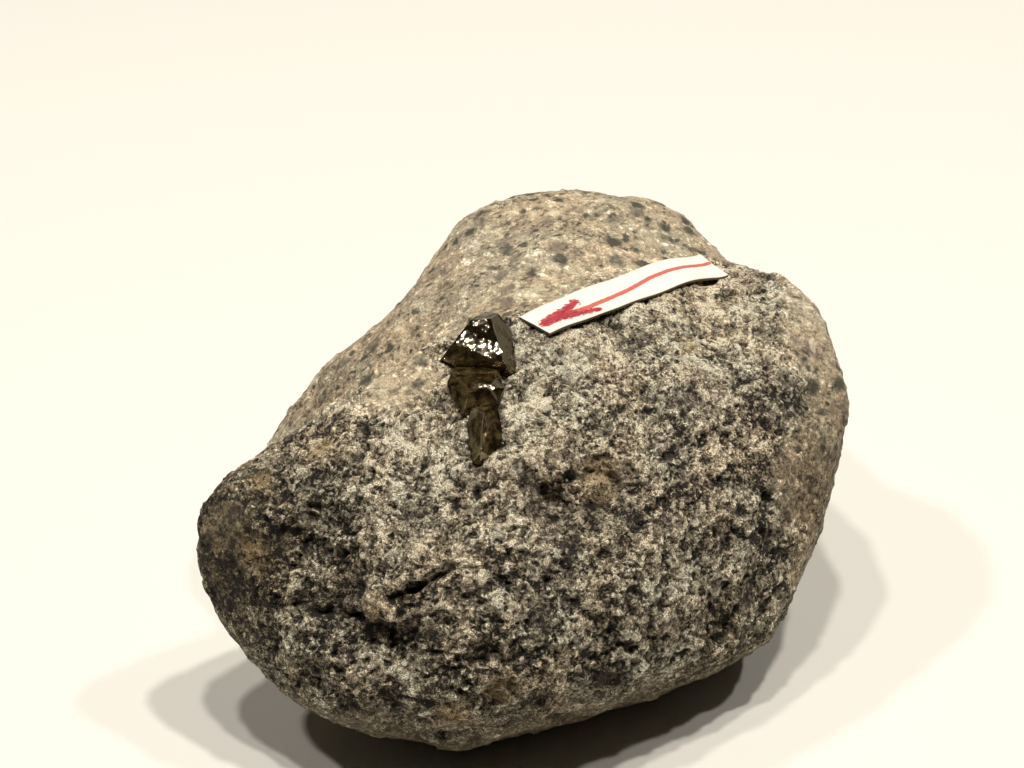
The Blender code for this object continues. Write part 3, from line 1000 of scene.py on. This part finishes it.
def alongStrip(tree, place, settings):
    # the place as (along, across, 0) on the strip
    start = Vector(settings["start"])
    heading = Vector(settings["end"]) - start
    turned = tree.nodes.new("ShaderNodeMapping")
    turned.vector_type = "TEXTURE"
    turned.inputs["Location"].default_value = (start.x, start.y, 0)
    turned.inputs["Rotation"].default_value = (0, 0, math.atan2(heading.y, heading.x))
    put(tree, turned.inputs["Vector"], place)
    return vectorMath(tree, "MULTIPLY", turned.outputs[0], (1, 1, 0))


def awayFromStroke(tree, strip, first, second):
    # distance from a straight pen stroke
    start = Vector((*first, 0))
    along = Vector((*second, 0)) - start
    offset = vectorMath(tree, "SUBTRACT", strip, tuple(start))
    share = vectorMath(tree, "DOT_PRODUCT", offset, tuple(along / along.length_squared))
    share = calc(tree, "MAXIMUM", calc(tree, "MINIMUM", share, 1.0), 0.0)
    return vectorMath(tree, "DISTANCE", offset, vectorMath(tree, "SCALE", tuple(along), share))


def squeezedNoise(tree, strip, settings):
    squeeze, *wave = settings
    return noiseNode(tree, vectorMath(tree, "MULTIPLY", strip, squeeze), *wave)


def paperColour(tree, strip, fibre, mottle, settings):
    # plain paper whose cut edges have gone tan
    worn = settings["worn"]
    colour = blendColours(tree, between(tree, fibre, *settings["fibreShade"]), settings["paper"], worn)
    colour = blendColours(tree, between(tree, mottle, *settings["mottleShade"]), colour, worn)
    low, high = settings["halfWidth"]
    along = separatedPlace(tree, strip, "X")
    across = calc(tree, "ABSOLUTE", separatedPlace(tree, strip, "Y"))
    edge = calc(tree, "MULTIPLY_ADD", along, (low - high) / settings["length"], across)
    edge = calc(tree, "MULTIPLY_ADD", fibre, settings["edgeRagged"], edge)
    start, end, *amounts = settings["edgeTan"]
    return blendColours(tree, between(tree, edge, low + start, low + end, *amounts), colour, worn)


def withArrow(tree, strip, fibre, colour, settings):
    # the arrow is drawn with a red marker: one pale pass for the shaft, several for the head
    shaft = None
    for first, second in zip(settings["shaft"], settings["shaft"][1:]):
        away = awayFromStroke(tree, strip, first, second)
        shaft = away if shaft is None else calc(tree, "MINIMUM", shaft, away)
    away = calc(tree, "ADD", shaft, centred(tree, fibre, settings["shaftRagged"]))
    ink = times(tree, between(tree, away, *settings["shaftWidth"]), settings["shaftCover"])
    colour = blendColours(tree, ink, colour, settings["shaftInk"])
    streaks = between(tree, squeezedNoise(tree, strip, settings["streaks"]), *settings["streakShade"])
    headInk = blendColours(tree, streaks, settings["headInk"], settings["headInkPale"])
    frayed = centred(tree, squeezedNoise(tree, strip, settings["frays"]), settings["frayed"])
    outer, inner = settings["headEdge"]
    coreOuter, coreInner, *cover = settings["headCore"]
    for first, second, width in settings["head"]:
        away = calc(tree, "ADD", awayFromStroke(tree, strip, first, second), frayed)
        ink = between(tree, away, width + outer, width + inner)
        colour = blendColours(tree, ink, colour, headInk)
        core = between(tree, away, width + coreOuter, width + coreInner, *cover)
        colour = blendColours(tree, core, colour, settings["headInk"])
    return colour


def cardMaterial(settings):
    material, tree, shader = newMaterial("card strip")
    place = inMillimetres(tree)
    strip = alongStrip(tree, place, settings)
    fibre = noiseNode(tree, place, *settings["fibre"])
    mottle = noiseNode(tree, place, *settings["mottle"])
    colour = paperColour(tree, strip, fibre, mottle, settings)
    colour = withArrow(tree, strip, fibre, colour, settings)
    # the thin sides and the back are darker: partly raw grey board, partly painted shade
    rise = separatedPlace(tree, surfaceNormal(tree), "Z")
    colour = blendColours(tree, between(tree, rise, *settings["toUnderShade"]), colour, settings["under"])
    put(tree, shader.inputs["Base Color"], colour)
    shader.inputs["Roughness"].default_value = settings["roughness"]
    depth, strength = settings["bump"]
    put(tree, shader.inputs["Normal"], bumpNode(tree, fibre, depth * mm, strength))
    return material


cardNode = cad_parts["pointer_label"]
cardNode.data.materials.clear()
cardNode.data.materials.append(cardMaterial(cardSet))

print("stage")

stageSet = {
    "floor": (0.685, 0.668, 0.637),
    "floorSize": 2.5,       # m from the middle to a side
    "floorRoughness": 0.7,
    "lampColour": (1.0, 0.955, 0.86),
    "world": (1.0, 0.90, 0.72),
    "worldStrength": 0.008,
    "glow": 0.40,           # brightness of the pale wall low behind the table
    "glowRise": (0.42, 0.20),       # it fades out upwards and towards the front
    "glowBehind": (0.05, 0.45),
    "aim": (0, 0, 0.02),
    "lamps": {              # azimuth from the front, elevation, distance in m, size in m, power in W
        "rightOuter": (92, 61, 0.9, 0.05, 1.9),
        "rightInner": (90, 76, 0.9, 0.05, 3.8),
        "overhead": (0, 87, 0.9, 0.05, 3.2),
        "leftInner": (-90, 79, 0.9, 0.05, 2.6),
        "leftOuter": (-93, 59, 0.9, 0.05, 2.0),
    },
}


def makeFloor(settings):
    bm = bmesh.new()
    bmesh.ops.create_grid(bm, x_segments=1, y_segments=1, size=settings["floorSize"])
    floor = pieceFrom(bm, "floor")
    material, tree, shader = newMaterial("pale table")
    shader.inputs["Base Color"].default_value = (*settings["floor"], 1)
    shader.inputs["Roughness"].default_value = settings["floorRoughness"]
    floor.data.materials.append(material)


def makeWorld(settings):
    world = bpy.data.worlds.new("dim room")
    world.use_nodes = True
    tree = world.node_tree
    background = tree.nodes["Background"]
    look = tree.nodes.new("ShaderNodeTexCoord").outputs["Generated"]
    rise = between(tree, separatedPlace(tree, look, "Z"), *settings["glowRise"])
    behind = between(tree, separatedPlace(tree, look, "Y"), *settings["glowBehind"])
    wall = times(tree, rise, behind)
    strength = calc(tree, "MULTIPLY_ADD", wall, settings["glow"], settings["worldStrength"])
    background.inputs["Color"].default_value = (*settings["world"], 1)
    put(tree, background.inputs["Strength"], strength)
    bpy.context.scene.world = world


def makeLamps(settings):
    for name, (azimuth, elevation, distance, size, power) in settings["lamps"].items():
        light = bpy.data.lights.new(name, "AREA")
        light.shape = "DISK"
        light.size = size
        light.energy = power
        light.color = settings["lampColour"]
        lamp = bpy.data.objects.new(name, light)
        bpy.context.scene.collection.objects.link(lamp)
        a, e = math.radians(azimuth), math.radians(elevation)
        way = Vector((math.sin(a) * math.cos(e), -math.cos(a) * math.cos(e), math.sin(e)))
        lamp.matrix_world = lookingAt(way * distance, Vector(settings["aim"]))


makeFloor(stageSet)
makeWorld(stageSet)
makeLamps(stageSet)
bpy.context.scene.view_settings.view_transform = "Standard"
bpy.context.scene.view_settings.look = "None"
